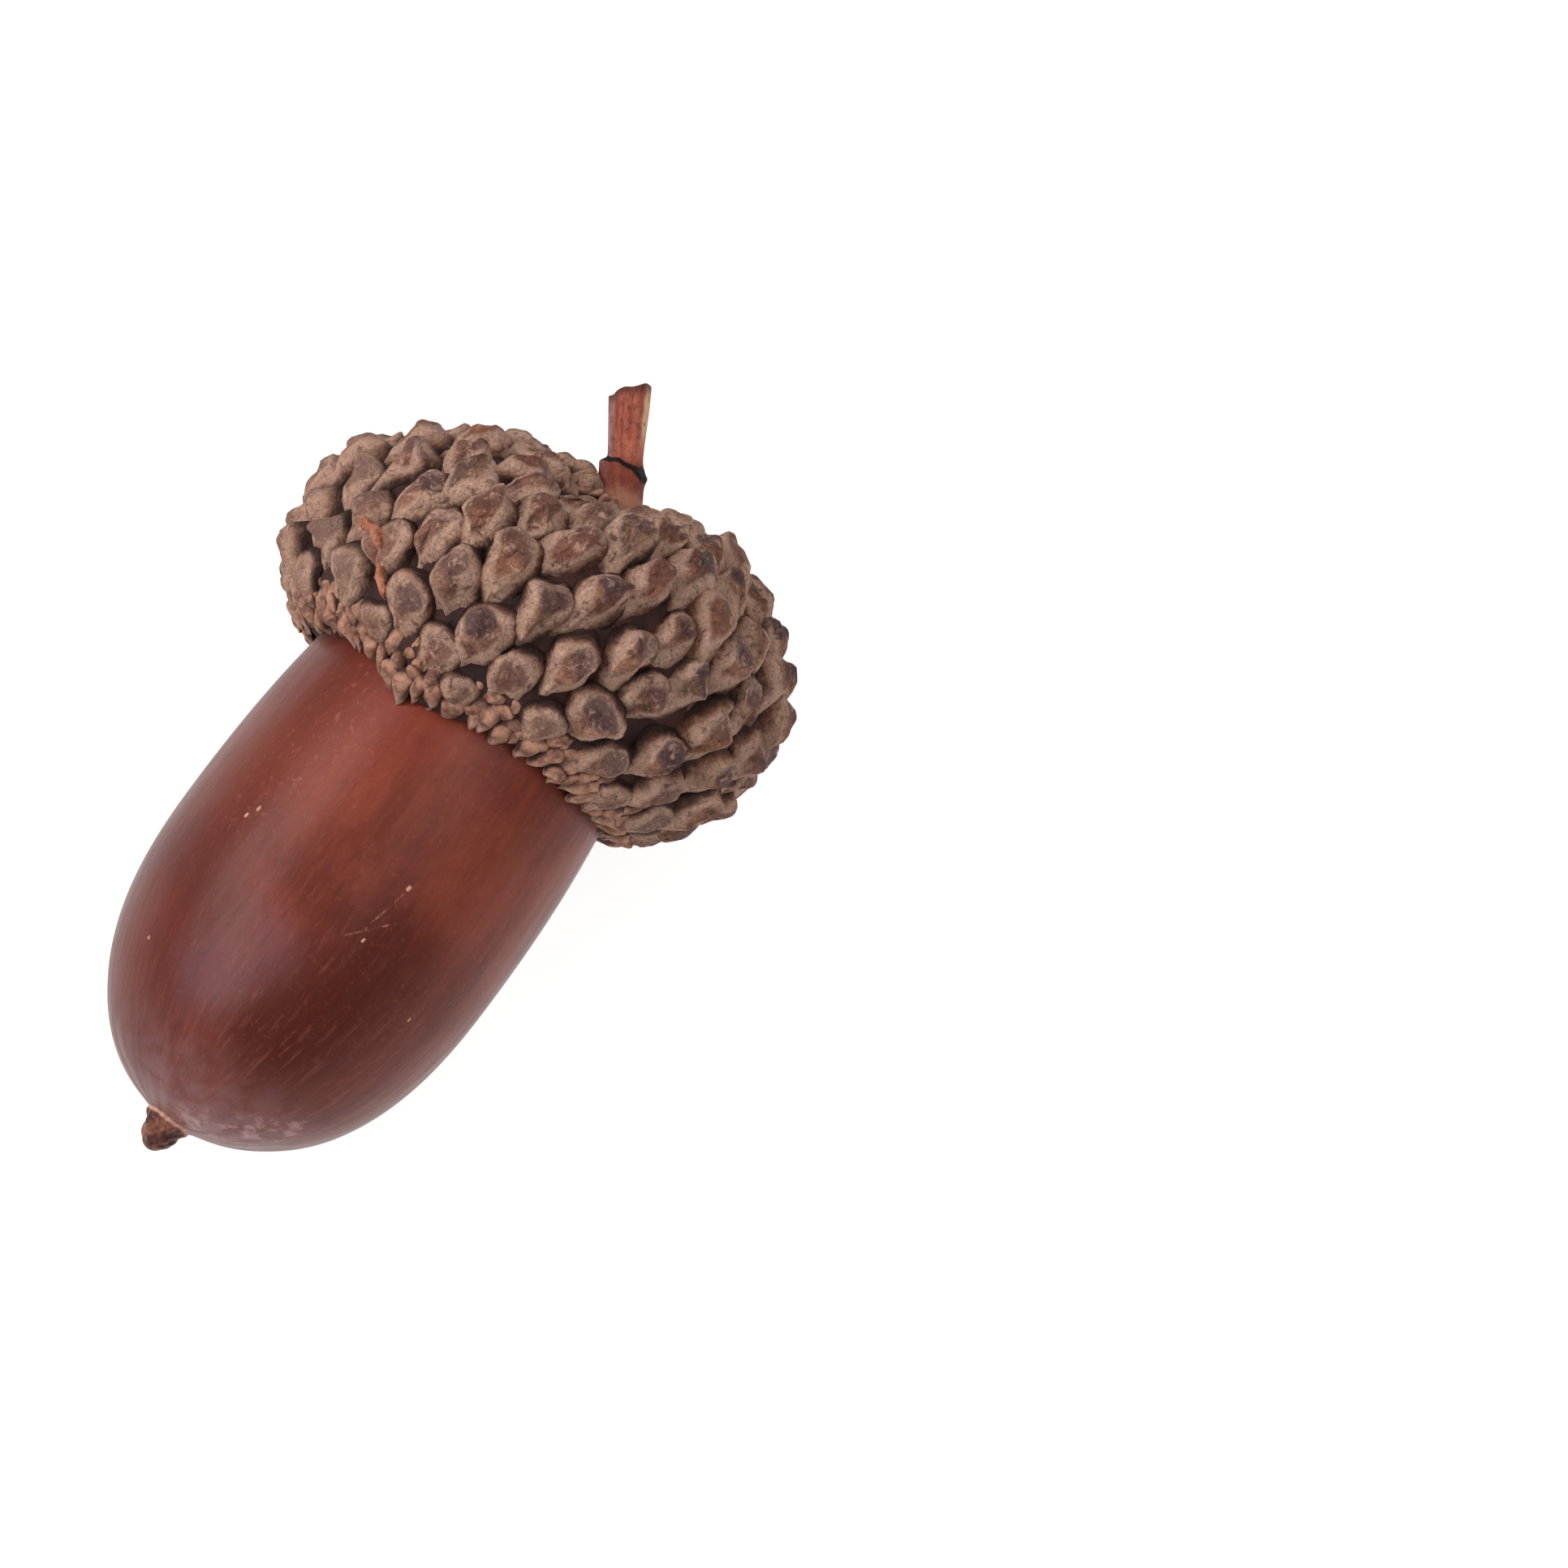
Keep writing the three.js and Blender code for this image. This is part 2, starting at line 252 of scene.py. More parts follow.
def put_on(piece, finish):
    """Gives a piece its material and lets it ride on the one body."""
    piece.data.materials.append(finish.material)
    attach(piece, "root")


beak_heights = np.linspace(BEAK_END + 0.02, BEAK_TOP, 66)
shell_heights = np.linspace(BEAK_TOP, NUT_LENGTH, 190)[1:]
nut_heights = np.concatenate((beak_heights, shell_heights))
nut_turns = np.linspace(0, WHOLE_TURN, NUT_COLUMNS, endpoint=False)
height, turn = np.meshgrid(nut_heights, nut_turns, indexing="ij")
nut_ends = np.array([[(BEAK_BEND, BEAK_END, 0), (0, NUT_LENGTH + 0.1, 0)]])
nut_marks = {"height": (height, (0, NUT_LENGTH)), "round_x": (np.sin(turn), 0), "round_z": (np.cos(turn), 0)}
nut = closed_piece("nut_shell", nut_skin(turn, height)[None], nut_ends, nut_marks)

SHELL_BROWN, SHELL_TAN = srgb(98, 38, 27), srgb(128, 58, 42)
BEAK_HALF_BROWN = srgb(92, 38, 34)
FLANK_BROWN_AND_PAINTED_SHADE = srgb(72, 24, 17)
SUNNY_RED = srgb(146, 62, 40)
FRECKLE_TAN = srgb(178, 104, 80)
DARK_STREAK, PALE_STREAK = srgb(66, 24, 20), srgb(150, 92, 78)
BLOOM_GREY, BLOOM_FLECK = srgb(134, 96, 98), srgb(196, 154, 148)
LEFT_SIDE_SHADE_BROWN, UPPER_LEFT_SHADE_BROWN = srgb(82, 30, 24), srgb(80, 26, 18)
PAINTED_SHEEN_MAUVE = srgb(128, 100, 112)
KNOCK_TAN, SCRATCH_TAN = srgb(206, 152, 124), srgb(190, 130, 106)
STUB_DARK, STUB_TAN = srgb(72, 36, 32), srgb(138, 86, 66)
COLLAR_PALE = srgb(206, 158, 140)
# Where the shell was knocked: the middle of each speck, and how far it reaches.
KNOCKS = (
    ((-3.0, 13.1, 7.0), 0.13),
    ((-3.3, 12.6, 6.9), 0.1),
    ((3.9, 14.0, 6.5), 0.12),
    ((3.7, 11.2, 6.6), 0.08),
    ((-3.9, 6.4, 5.4), 0.13),
    ((-4.6, 7.6, 5.1), 0.07),
    ((6.5, 9.9, 3.7), 0.08),
    ((-1.2, 17.6, 7.3), 0.08),
)
# Where it was scratched: the ends of each line.
SCRATCHES = (
    ((3.9, 13.8, 6.5), (3.5, 11.6, 6.75)),
    ((4.3, 12.6, 6.3), (3.0, 10.9, 6.95)),
    ((-2.7, 13.6, 7.1), (-3.3, 12.9, 6.85)),
)

mahogany = Finish("polished_nut_shell")
height_on_nut = mahogany.mark("height")
round_x = mahogany.mark("round_x")
# The turn as a point on a circle, and the height shrunk to draw it out: streaks run from beak to cap.
drawn_out = mahogany.product(height_on_nut, 0.02)
meridian = mahogany.add("CombineXYZ", {}, {0: round_x, 1: mahogany.mark("round_z"), 2: drawn_out})
anywhere = mahogany.place()
streaks = mahogany.noise(meridian, 30.0, 5.0, 0.65)
broad_streaks = mahogany.noise(meridian, 5.0, 3.0, 0.5)
clouds = mahogany.noise(anywhere, 0.16, 3.0, 0.55, 0.4)
mottle = mahogany.noise(anywhere, 1.1, 6.0, 0.7, 0.3)
tone = mahogany.sum(mahogany.product(clouds, 0.55), mahogany.product(broad_streaks, 0.3))
tone = mahogany.sum(tone, mahogany.product(mottle, 0.15))
mahogany.colour = mahogany.mix(mahogany.between(tone, 0.38, 0.62), SHELL_BROWN, SHELL_TAN)
# The shell is darkest low on its right side, partly its own darker mahogany and partly painted shade for the
# dark reflection there, and reddest in the sun, under the cap on the left.
mahogany.paint(BEAK_HALF_BROWN, mahogany.between(height_on_nut, 14.0, 7.0, 0.0, 0.4))
mahogany.paint(FLANK_BROWN_AND_PAINTED_SHADE, mahogany.near((3.4, 6.2, 5.8), (4.8, 10.6, 5.9), 0.5, 4.8), 0.8)
mahogany.paint(SUNNY_RED, mahogany.near((-1.5, 20.5, 7.0), (-2.6, 15.0, 7.1), 0.5, 4.5), 0.5)
# Freckles, thickest on the left under the cap.
freckled = mahogany.near((-2.7, 20.7, 6.6), (-3.2, 12.6, 6.9), 0.2, 2.6)
freckled = mahogany.sum(mahogany.product(freckled, 0.5), 0.12)
freckles = mahogany.between(mahogany.noise(anywhere, 3.4, 5.0, 0.7), 0.54, 0.7)
mahogany.paint(FRECKLE_TAN, mahogany.product(freckles, freckled))
# Fine dark and pale streaks, stronger on the half towards the beak.
darker_there = mahogany.between(height_on_nut, 15.0, 7.0, 0.25, 0.5)
mahogany.paint(DARK_STREAK, mahogany.product(mahogany.between(streaks, 0.52, 0.7), darker_there))
paler_there = mahogany.between(height_on_nut, 14.0, 6.0, 0.1, 0.2)
mahogany.paint(PALE_STREAK, mahogany.product(mahogany.between(streaks, 0.46, 0.34), paler_there))
# The greyish bloom round the beak, with paler flecks beside it.
uneven_bloom = mahogany.between(mahogany.noise(anywhere, 0.7, 5.0, 0.65), 0.3, 0.65)
mahogany.paint(BLOOM_GREY, mahogany.product(mahogany.between(height_on_nut, 5.6, 1.4), uneven_bloom), 0.62)
flecks = mahogany.between(mahogany.noise(anywhere, 1.5, 5.0, 0.6), 0.48, 0.68)
beside_beak = mahogany.near((1.4, 1.6, 1.6), (4.6, 3.2, 1.9), 0.3, 1.9)
mahogany.paint(BLOOM_FLECK, mahogany.product(flecks, beside_beak), 0.5)
# The left side is painted darker, as painted shade, and a patch on its upper left more so; a patch below it
# is a painted reflection, a mauve sheen.
mahogany.paint(LEFT_SIDE_SHADE_BROWN, mahogany.between(round_x, -0.15, -0.5), 0.45)
mahogany.paint(UPPER_LEFT_SHADE_BROWN, mahogany.near((-2.2, 8.6, 7.1), (-2.4, 13.0, 7.1), 0.3, 2.2), 0.35)
mahogany.paint(PAINTED_SHEEN_MAUVE, mahogany.near((-0.6, 6.4, 6.6), (0.6, 8.6, 7.2), 0.3, 2.6), 0.22)
for speck, reach in KNOCKS:
    mahogany.paint(KNOCK_TAN, mahogany.near(speck, np.array(speck) + (0.02, 0.1, 0), 0.3 * reach, reach))
broken_line = mahogany.between(mahogany.noise(anywhere, 2.2, 4.0, 0.7), 0.44, 0.6, 0.0, 0.5)
for first, last in SCRATCHES:
    mahogany.paint(SCRATCH_TAN, mahogany.product(mahogany.near(first, last, 0.01, 0.08), broken_line))
# The stub of the beak, and the pale line round its collar.
stub_brown = mahogany.mix(mahogany.between(mottle, 0.4, 0.6), STUB_DARK, STUB_TAN)
mahogany.paint(stub_brown, mahogany.between(height_on_nut, 1.05, 0.95))
uneven = mahogany.sum(height_on_nut, mahogany.product(mottle, 0.3))
collar = mahogany.product(mahogany.between(uneven, 1.17, 1.24), mahogany.between(uneven, 1.4, 1.31))
mahogany.paint(COLLAR_PALE, collar, 0.85)
mahogany.set(
    Base_Color=mahogany.colour,
    Roughness=mahogany.between(mahogany.noise(meridian, 14.0, 4.0, 0.6), 0.3, 0.7, 0.32, 0.44),
    Specular_IOR_Level=0.18,
    Sheen_Weight=0.17,
    Sheen_Roughness=0.4,
    Sheen_Tint=(1.0, 0.88, 0.86, 1.0),
    Normal=mahogany.bump(streaks, 0.014, mahogany.bump(mottle, 0.02)),
)
put_on(nut, mahogany)
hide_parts("nut")


# The cup under the scales
# The woody cup itself, a deep bowl moulded on the nut: an oblate dome, hollowed round the stalk, that rolls
# in to the nut at its rim. Only its skin shows, in the cracks between the scales that grow from it: reddish
# brown, and near black as painted shade in the cracks.
CAP_RADIUS = 11.0
CAP_HEIGHT = 7.95
CAP_CENTRE = 26.25
CAP_RIM_ANGLE = 131.0
CUP_ROOF = 29.35
NUT_CLEARANCE = 0.06
RIM_ASIDE, TOP_ASIDE, RIM_SLANT = -0.3, 1.4, 0.03
VALLEY_DEPTH, VALLEY_WIDTH, VALLEY_LENGTH = 2.3, 2.4, 4.5
STALK_PITCH, PITCH_GROWTH, RIM_PITCH = 1.5, 1.15, 1.7
STALK_BASE = np.array((-0.3, 32.8, 0.0))
CRACK_SHADOW_BLACK, CRACK_BROWN = srgb(30, 11, 8), srgb(64, 31, 23)


def scale_pitch(angle):
    """How far apart scales are: in S-curves, it grows from the stalk to the dome and shrinks to the rim."""
    grown = STALK_PITCH + PITCH_GROWTH * eased(angle, 10, 40)
    return grown + (RIM_PITCH - grown) * eased(angle, 106, CAP_RIM_ANGLE)


def scale_size(angle):
    """How thick the scales are: as much as their distance, and under half of that on the rim."""
    return scale_pitch(angle) * (1 - 0.55 * eased(angle, 100, CAP_RIM_ANGLE))


def dome_outline(angle, depth):
    """How far out and how high the round dome is, at degrees from the stalk: an ellipse."""
    radians = np.radians(angle)
    return (CAP_RADIUS - depth) * np.sin(radians), CAP_CENTRE + (CAP_HEIGHT - depth) * np.cos(radians)


def cap_point(angle, turn, depth=0.0):
    """A point of the lopsided dome: the turned outline, moved aside by the square of the height over the
    rim and, close to it, to the stalk, sheared so that the rim slants, and sunk into a bell-shaped valley
    that runs from the stalk down the upper side."""
    out, y = dome_outline(angle, depth)
    x, z = out * np.sin(np.radians(turn)), out * np.cos(np.radians(turn))
    rim = dome_outline(CAP_RIM_ANGLE, 0.0)[1]
    aside = RIM_ASIDE + TOP_ASIDE * ((y - rim) / (CAP_CENTRE + CAP_HEIGHT - rim)) ** 2
    x = x + aside + (STALK_BASE[0] - aside) * bell(np.hypot(x, z) / 2.8)
    valley = VALLEY_DEPTH * bell(np.hypot((x - STALK_BASE[0]) / VALLEY_WIDTH, (z - 3.2) / VALLEY_LENGTH))
    return np.stack(np.broadcast_arrays(x, y + RIM_SLANT * x - valley, z), -1)


dome_angles = np.linspace(3, CAP_RIM_ANGLE, 46)
dome_turns = np.linspace(0, 360, 120, endpoint=False)
angle, turn = np.meshgrid(dome_angles, dome_turns, indexing="ij")
under_scales = 0.36 * scale_size(angle) + 0.45 * eased(angle, 120, CAP_RIM_ANGLE)
outside = cap_point(angle, turn, under_scales)
edge = outside[-1]
height = edge[:, 1] + (CUP_ROOF - edge[:, 1]) * np.linspace(0, 1, 30)[:, None]
radius = nut_radius(height) + NUT_CLEARANCE
across_x, across_z = np.sin(np.radians(turn[:1])), np.cos(np.radians(turn[:1]))
inside = np.stack((radius * across_x, height, radius * across_z), -1)
# Three rings roll the edge in to the nut, along half a sine.
share = np.array((0.25, 0.5, 0.75))[:, None, None]
roll = edge + (inside[0] - edge) * share - np.array((0, 0.25, 0)) * np.sin(np.pi * share)
cup_rings = np.concatenate((outside, roll, inside))
cup_rings = cup_rings + 0.025 * relief(cup_rings, 1.6, 11)[..., None]
cup_ends = np.array([[cap_point(0.0, 0.0, 0.9), (0, CUP_ROOF, 0)]])
cup = closed_piece("cap_cup", cup_rings[None], cup_ends)

cup_bark = Finish("cup_skin_with_painted_shade")
anywhere = cup_bark.place()
# Near black is painted shadow in the cracks, and the reddish brown is the skin's own colour.
browner_than_shadow = cup_bark.between(cup_bark.noise(anywhere, 0.8, 4.0, 0.6), 0.35, 0.65)
cup_bark.set(
    Base_Color=cup_bark.mix(browner_than_shadow, CRACK_SHADOW_BLACK, CRACK_BROWN),
    Roughness=0.85,
    Normal=cup_bark.bump(cup_bark.noise(anywhere, 3.0, 5.0, 0.6), 0.12),
)
put_on(cup, cup_bark)
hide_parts("cap")


# The scales of the cap
# Nearly two hundred woody scales in one golden-angle spiral from the stalk to the rim, grown fast to the
# cup. Each is a teardrop: a swollen knob towards the stalk, and a tail that lies down towards the rim.
GOLDEN_ANGLE = 137.508
FIRST_TURN = 40.4
FIRST_ANGLE, LAST_ANGLE = 8, 126
PACKING = 0.92
SCALE_LENGTH = 1.58
SCALE_WIDTH, NARROWEST, WIDEST = 0.57, 0.47, 0.58
KNOB_RISE = 0.55
FOOT_DEPTH = 0.72


def draw(k, channel):
    """A repeatable draw between -1 and 1 for scale k: the digits of a large sine past its point."""
    x = np.sin(k * 12.9898 + channel * 78.233) * 43758.5453
    return 2 * (x - np.floor(x)) - 1


def scale_angles():
    """Degrees from the stalk of each scale in turn, so that each one has its own share of the dome: the
    surface of narrow bands is added up from the stalk, in shares, and read back at whole numbers."""
    steps = np.arange(FIRST_ANGLE, 130.25, 0.25)
    out, high = dome_outline(steps, 0)
    bands = WHOLE_TURN * out[:-1] * np.hypot(np.diff(out), np.diff(high))
    shares = np.concatenate(((0,), np.cumsum(bands / (PACKING * scale_pitch(steps[:-1]) ** 2))))
    angles = np.interp(np.arange(np.ceil(shares[-1])), shares, steps)
    return angles[angles < LAST_ANGLE]


def cap_frames(angle, turn, depth=0.0):
    """Where things grow on the dome: the place, and the directions round the cap, to the stalk, and
    outwards, from the way to points a degree away, made one long."""
    at = cap_point(angle, turn, depth)
    to_stalk = cap_point(angle - 1, turn, depth) - at
    round_cap = cap_point(angle, turn + 1, depth) - at
    to_stalk /= np.linalg.norm(to_stalk, axis=-1, keepdims=True)
    round_cap /= np.linalg.norm(round_cap, axis=-1, keepdims=True)
    outwards = np.cross(round_cap, to_stalk)
    outwards /= np.linalg.norm(outwards, axis=-1, keepdims=True)
    return at, np.stack((round_cap, to_stalk, outwards), -2)


def scale_forms(k, length, half_width, size, taper=0.6, rows=5, columns=14):
    """Teardrops. Round the outline, a sine times a power of the way from the tail gives a round head and a
    pointed tail. From the crown down, an arch gives the way out and the height over the foot, lower on the
    tail, which bends aside. Each is tilted and spun a little. Also given out: how near a point is to the
    crown, to the scar on the head, and to the tail."""
    down = np.linspace(0, np.pi / 2, rows + 1)[1:, None]
    outline = np.linspace(0, WHOLE_TURN, columns, endpoint=False)
    k, length, half_width, size = (np.reshape(value, (-1, 1, 1)) for value in (k, length, half_width, size))
    out = np.sin(down) ** 0.75
    to_tail = (1 - np.cos(outline)) / 2
    across = 1.4 * half_width * np.sin(outline) * (1 - to_tail) ** taper * out
    along = length * (0.12 + (0.3 - to_tail) * out)
    tailward = np.clip(0.1 - along / length, 0, 1)
    scar = bell(np.hypot(across / half_width / 0.6 - 0.3 * draw(k, 13), (along / length - 0.19) / 0.17))
    across = across + 0.5 * half_width * draw(k, 6) * tailward**1.5
    crest = 0.06 + 0.13 * draw(k, 3)
    top = crest - 0.38 * eased(tailward, 0.0, 0.6)
    high = size * ((top + FOOT_DEPTH) * (1 - out**2.7) ** 0.5 - FOOT_DEPTH)
    tilt = 0.18 * across * draw(k, 11) + 0.14 * (along - 0.1 * length) * draw(k, 7)
    high = high + tilt * (1 - out**3)
    spin = np.radians(14) * draw(k, 8)
    across, along = across * np.cos(spin) - along * np.sin(spin), across * np.sin(spin) + along * np.cos(spin)
    rings = np.stack(np.broadcast_arrays(across, along, high), -1)
    crown = np.concatenate((0 * length, 0.12 * length, size * crest), -1)
    foot = np.concatenate((0 * length, 0 * length, size * -FOOT_DEPTH), -1)
    marks = {"crown": (1 - out, (1, 0)), "scar": (scar, (0.6, 0)), "tail": (tailward, (0, 0))}
    return rings, np.stack((crown[:, 0], foot[:, 0]), 1), marks


def planted(at, axes, rings, ends):
    """Forms set on their places on the dome: each coordinate becomes a step along one of its directions."""
    standing_rings = at[:, None, None] + np.einsum("nrci,nij->nrcj", rings, axes)
    return standing_rings, at[:, None] + np.einsum("nei,nij->nej", ends, axes)


def gnarled(rings, depth, length, first_seed):
    """Points moved about in all three directions by soft random lumps."""
    lumps = [relief(rings, length, seed) for seed in range(first_seed, first_seed + 3)]
    return rings + depth * np.stack(lumps, -1)


def rounded(piece):
    """Rounds a piece off: one subdivision, which sets each point to a mean of those round it."""
    rounding = piece.modifiers.new("rounded", "SUBSURF")
    rounding.levels = rounding.render_levels = 1


angles = scale_angles()
k = np.arange(len(angles))
pitch = scale_pitch(angles)
wobble = 0.1 * np.degrees(pitch / CAP_RADIUS)
at, axes = cap_frames(angles + wobble * draw(k, 5), FIRST_TURN - k * GOLDEN_ANGLE + wobble * draw(k, 4))
# Each scale fills a little over half of the way to the nearest one beside it. Near the rim they crowd.
apart = np.einsum("ijc,ifc->fij", at[None] - at[:, None], axes)
beside = (np.abs(apart[1]) < 0.5 * pitch[:, None]) & (np.abs(apart[0]) > 0.1)
nearest = np.where(beside, np.abs(apart[0]), 9).min(1)
half_width = np.clip(SCALE_WIDTH * nearest, NARROWEST * pitch, WIDEST * pitch)
crowding = 1 + 0.2 * eased(angles, 100, 118)
shortened = 1 - 0.3 * eased(angles, 116, 126)
# Beside the stalk, on the left, small scales stand up as high knobs.
x, y, z = at.T
raised = bell(np.hypot((x + 2.6) / 0.9, (z + 0.4) / 2.2))
at = at + KNOB_RISE * raised[:, None] * axes[:, 2]
rings, ends, marks = scale_forms(
    k,
    SCALE_LENGTH * pitch * crowding * shortened * (1 + 0.1 * draw(k, 1)),
    half_width * crowding * (1 + 0.08 * draw(k, 2)),
    scale_size(angles) * (1 + 0.5 * raised),
)
rings, ends = planted(at, axes, rings, ends)
rings = gnarled(rings, 0.07 * scale_size(angles)[:, None, None, None], 1.5, 21)
for mark, values in (("tint", draw(k, 9)), ("shade", draw(k, 10)), ("from_stalk", angles)):
    marks[mark] = (values[:, None, None], values[:, None])
scales = closed_piece("cap_scales", rings, ends, marks)
rounded(scales)
# Small knots, about a millimetre apart, push the skin in and out by up to a quarter of one.
knots = bpy.data.textures.new("small_knots", "CLOUDS")
knots.noise_scale, knots.noise_depth = 0.0009, 1
knobbly = scales.modifiers.new("knobbly", "DISPLACE")
knobbly.texture, knobbly.texture_coords = knots, "LOCAL"
knobbly.strength, knobbly.mid_level = 0.0005, 0.5

BARK_BROWN, BARK_TAN = srgb(130, 81, 66), srgb(196, 136, 111)
OCHRE_SCALE, GREY_SCALE, RED_SCALE = srgb(184, 118, 74), srgb(144, 120, 96), srgb(156, 86, 70)
RIDGE_PALE_AND_HIGHLIGHT = srgb(250, 200, 174)
SCAR_PURPLE = srgb(92, 62, 68)
TAIL_PALE, STALK_SIDE_PALE, RIM_SIDE_PALE = srgb(222, 178, 154), srgb(224, 176, 146), srgb(204, 160, 138)
WRINKLE_HIGHLIGHT_PALE, WRINKLE_SHADE_DARK = srgb(248, 198, 173), srgb(90, 52, 40)
GRAIN_DARK, GRAIN_PALE = srgb(96, 54, 44), srgb(236, 184, 162)
LEFT_SIDE_LIGHT_PALE = srgb(240, 186, 160)
CRACK_SHADE_DARK = srgb(50, 20, 12)

bark = Finish("woody_scales")
anywhere = bark.place()
crown, tail = bark.mark("crown"), bark.mark("tail")
tint, shade = bark.mark("tint"), bark.mark("shade")
from_stalk = bark.mark("from_stalk")
mottle = bark.noise(anywhere, 0.9, 5.0, 0.62)
wrinkles = bark.noise(anywhere, 2.0, 5.0, 0.6, 0.8)
grain = bark.noise(anywhere, 6.0, 6.0, 0.75)
bark.colour = bark.mix(bark.between(mottle, 0.38, 0.62), BARK_BROWN, BARK_TAN)
# No two scales have quite the same colour.
bark.paint(OCHRE_SCALE, bark.between(tint, 0.2, 1.0, 0.0, 0.5))
bark.paint(GREY_SCALE, bark.between(tint, -0.3, -1.0, 0.0, 0.4))
bark.paint(RED_SCALE, bark.between(shade, 0.3, 1.0, 0.0, 0.5))
# A pale ridge runs round each head, partly paler bark and partly a painted highlight on its rounded shoulder,
# and inside it is a dark scar, plainer on some than on others.
edge = bark.sum(crown, bark.product(bark.sum(mottle, -0.5), 0.2))
bark.paint(RIDGE_PALE_AND_HIGHLIGHT, bark.product(bark.between(edge, 0.16, 0.32), bark.between(edge, 0.62, 0.44)), 0.85)
scar = bark.between(bark.sum(bark.mark("scar"), bark.product(wrinkles, 0.5)), 0.62, 0.8)
bark.paint(SCAR_PURPLE, bark.product(scar, bark.between(shade, -0.6, 0.6, 0.85, 0.3)))
# Tails are paler, and so are the scales near the stalk and near the rim.
bark.paint(TAIL_PALE, bark.between(tail, 0.25, 0.6, 0.0, 0.6))
bark.paint(STALK_SIDE_PALE, bark.between(from_stalk, 36.0, 16.0), 0.7)
bark.paint(RIM_SIDE_PALE, bark.between(from_stalk, 108.0, 126.0), 0.4)
# Painted highlight on the crests of the wrinkles and painted shade in their hollows, from the same noise as
# their bump.
bark.paint(WRINKLE_HIGHLIGHT_PALE, bark.between(wrinkles, 0.54, 0.66, 0.0, 0.6))
bark.paint(WRINKLE_SHADE_DARK, bark.between(wrinkles, 0.45, 0.32, 0.0, 0.75))
bark.paint(GRAIN_DARK, bark.between(grain, 0.5, 0.64, 0.0, 0.5))
bark.paint(GRAIN_PALE, bark.between(grain, 0.46, 0.34, 0.0, 0.4))
# The left of the cap is painted paler, a painted light from the upper left, and every scale darkens into the
# crack round its foot, a painted shade.
bark.paint(LEFT_SIDE_LIGHT_PALE, bark.near((-6.4, 23.1, 8.2), (-9.0, 26.0, 4.0), 1.0, 6.0), 0.3)
off_tail = bark.between(tail, 0.6, 0.35, 0.35, 0.96)
bark.paint(CRACK_SHADE_DARK, bark.product(bark.between(edge, 0.24, 0.08), off_tail))
bark.set(
    Base_Color=bark.colour,
    Roughness=0.72,
    Specular_IOR_Level=0.4,
    Normal=bark.bump(wrinkles, 0.95, bark.bump(grain, 0.24)),
)
put_on(scales, bark)
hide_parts("cap")


# The small scales at the rim and at the stalk
# The youngest scales stand in crowded rows right at the rim. They are thin, pale and pointed, and their
# tips reach over the edge on to the nut. Others as small are heaped round the foot of the stalk.
RIM_TIPS, RIM_ROWS, RIM_ROW_STEP = 276, 4, 2.8
TIP_LENGTH, TIP_HALF_WIDTH, TIP_SIZE = 1.65, 0.43, 0.8
FOOT_SCALES = 54
FOOT_LENGTH, FOOT_HALF_WIDTH, FOOT_SIZE = 0.95, 0.34, 0.9
# Each kind takes its draws from its own stretch of the numbers.
FIRST_TIP, FIRST_FOOT_SCALE = 400, 800
YOUNG_BROWN, YOUNG_TAN = srgb(108, 70, 56), srgb(182, 132, 108)
YOUNG_TAIL_PALE = srgb(214, 174, 150)
YOUNG_CRACK_SHADE_DARK = srgb(58, 28, 20)

k = np.arange(RIM_TIPS) + FIRST_TIP
row = k % RIM_ROWS
tip_angles = 130.2 - RIM_ROW_STEP * row + 1.2 * draw(k, 1)
at, axes = cap_frames(tip_angles, (k + 0.8 * draw(k, 2)) * 360 / RIM_TIPS, 0.12 + 0.1 * row)
rings, ends, marks = scale_forms(
    k,
    TIP_LENGTH + 0.4 * draw(k, 4),
    TIP_HALF_WIDTH + 0.14 * draw(k, 5),
    TIP_SIZE + 0.3 * draw(k, 12),
    taper=0.5,
)
rings, ends = planted(at, axes, rings, ends)
fringe = closed_piece("cap_rim_tips", gnarled(rings, 0.06, 0.9, 31), ends, marks)
rounded(fringe)

k = np.arange(FOOT_SCALES) + FIRST_FOOT_SCALE
foot_angles = 7.5 + 8 * (k - FIRST_FOOT_SCALE) / FOOT_SCALES + draw(k, 1)
foot_turns = k * GOLDEN_ANGLE
# Those in front of the stalk stand higher.
in_front = bell((np.mod(foot_turns + 190, 360) - 180) / 50) * bell((foot_angles - 7.5) / 3)
at, axes = cap_frames(foot_angles, foot_turns, -0.05 + 0.15 * draw(k, 2) - 0.5 * in_front)
rings, ends, marks = scale_forms(
    k,
    FOOT_LENGTH + 0.3 * draw(k, 4),
    FOOT_HALF_WIDTH + 0.1 * draw(k, 5),
    FOOT_SIZE + 0.3 * draw(k, 12),
)
heap = closed_piece("stalk_foot_scales", *planted(at, axes, rings, ends), marks)
rounded(heap)

pale_bark = Finish("pale_rim_scales")
crown, tail = pale_bark.mark("crown"), pale_bark.mark("tail")
mottle = pale_bark.noise(pale_bark.place(), 1.6, 5.0, 0.62)
pale_bark.colour = pale_bark.mix(pale_bark.between(mottle, 0.35, 0.65), YOUNG_BROWN, YOUNG_TAN)
pale_bark.paint(YOUNG_TAIL_PALE, pale_bark.between(tail, 0.15, 0.5, 0.0, 0.5))
# Each small scale darkens towards its foot, off its tail: painted shade in the crack round it.
towards_foot, off_tail = pale_bark.between(crown, 0.34, 0.12), pale_bark.between(tail, 0.55, 0.3, 0.4, 0.95)
pale_bark.paint(YOUNG_CRACK_SHADE_DARK, pale_bark.product(towards_foot, off_tail))
pale_bark.set(Base_Color=pale_bark.colour, Roughness=0.8, Normal=pale_bark.bump(mottle, 0.2))
for piece in (fringe, heap):
    put_on(piece, pale_bark)
    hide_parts("cap")


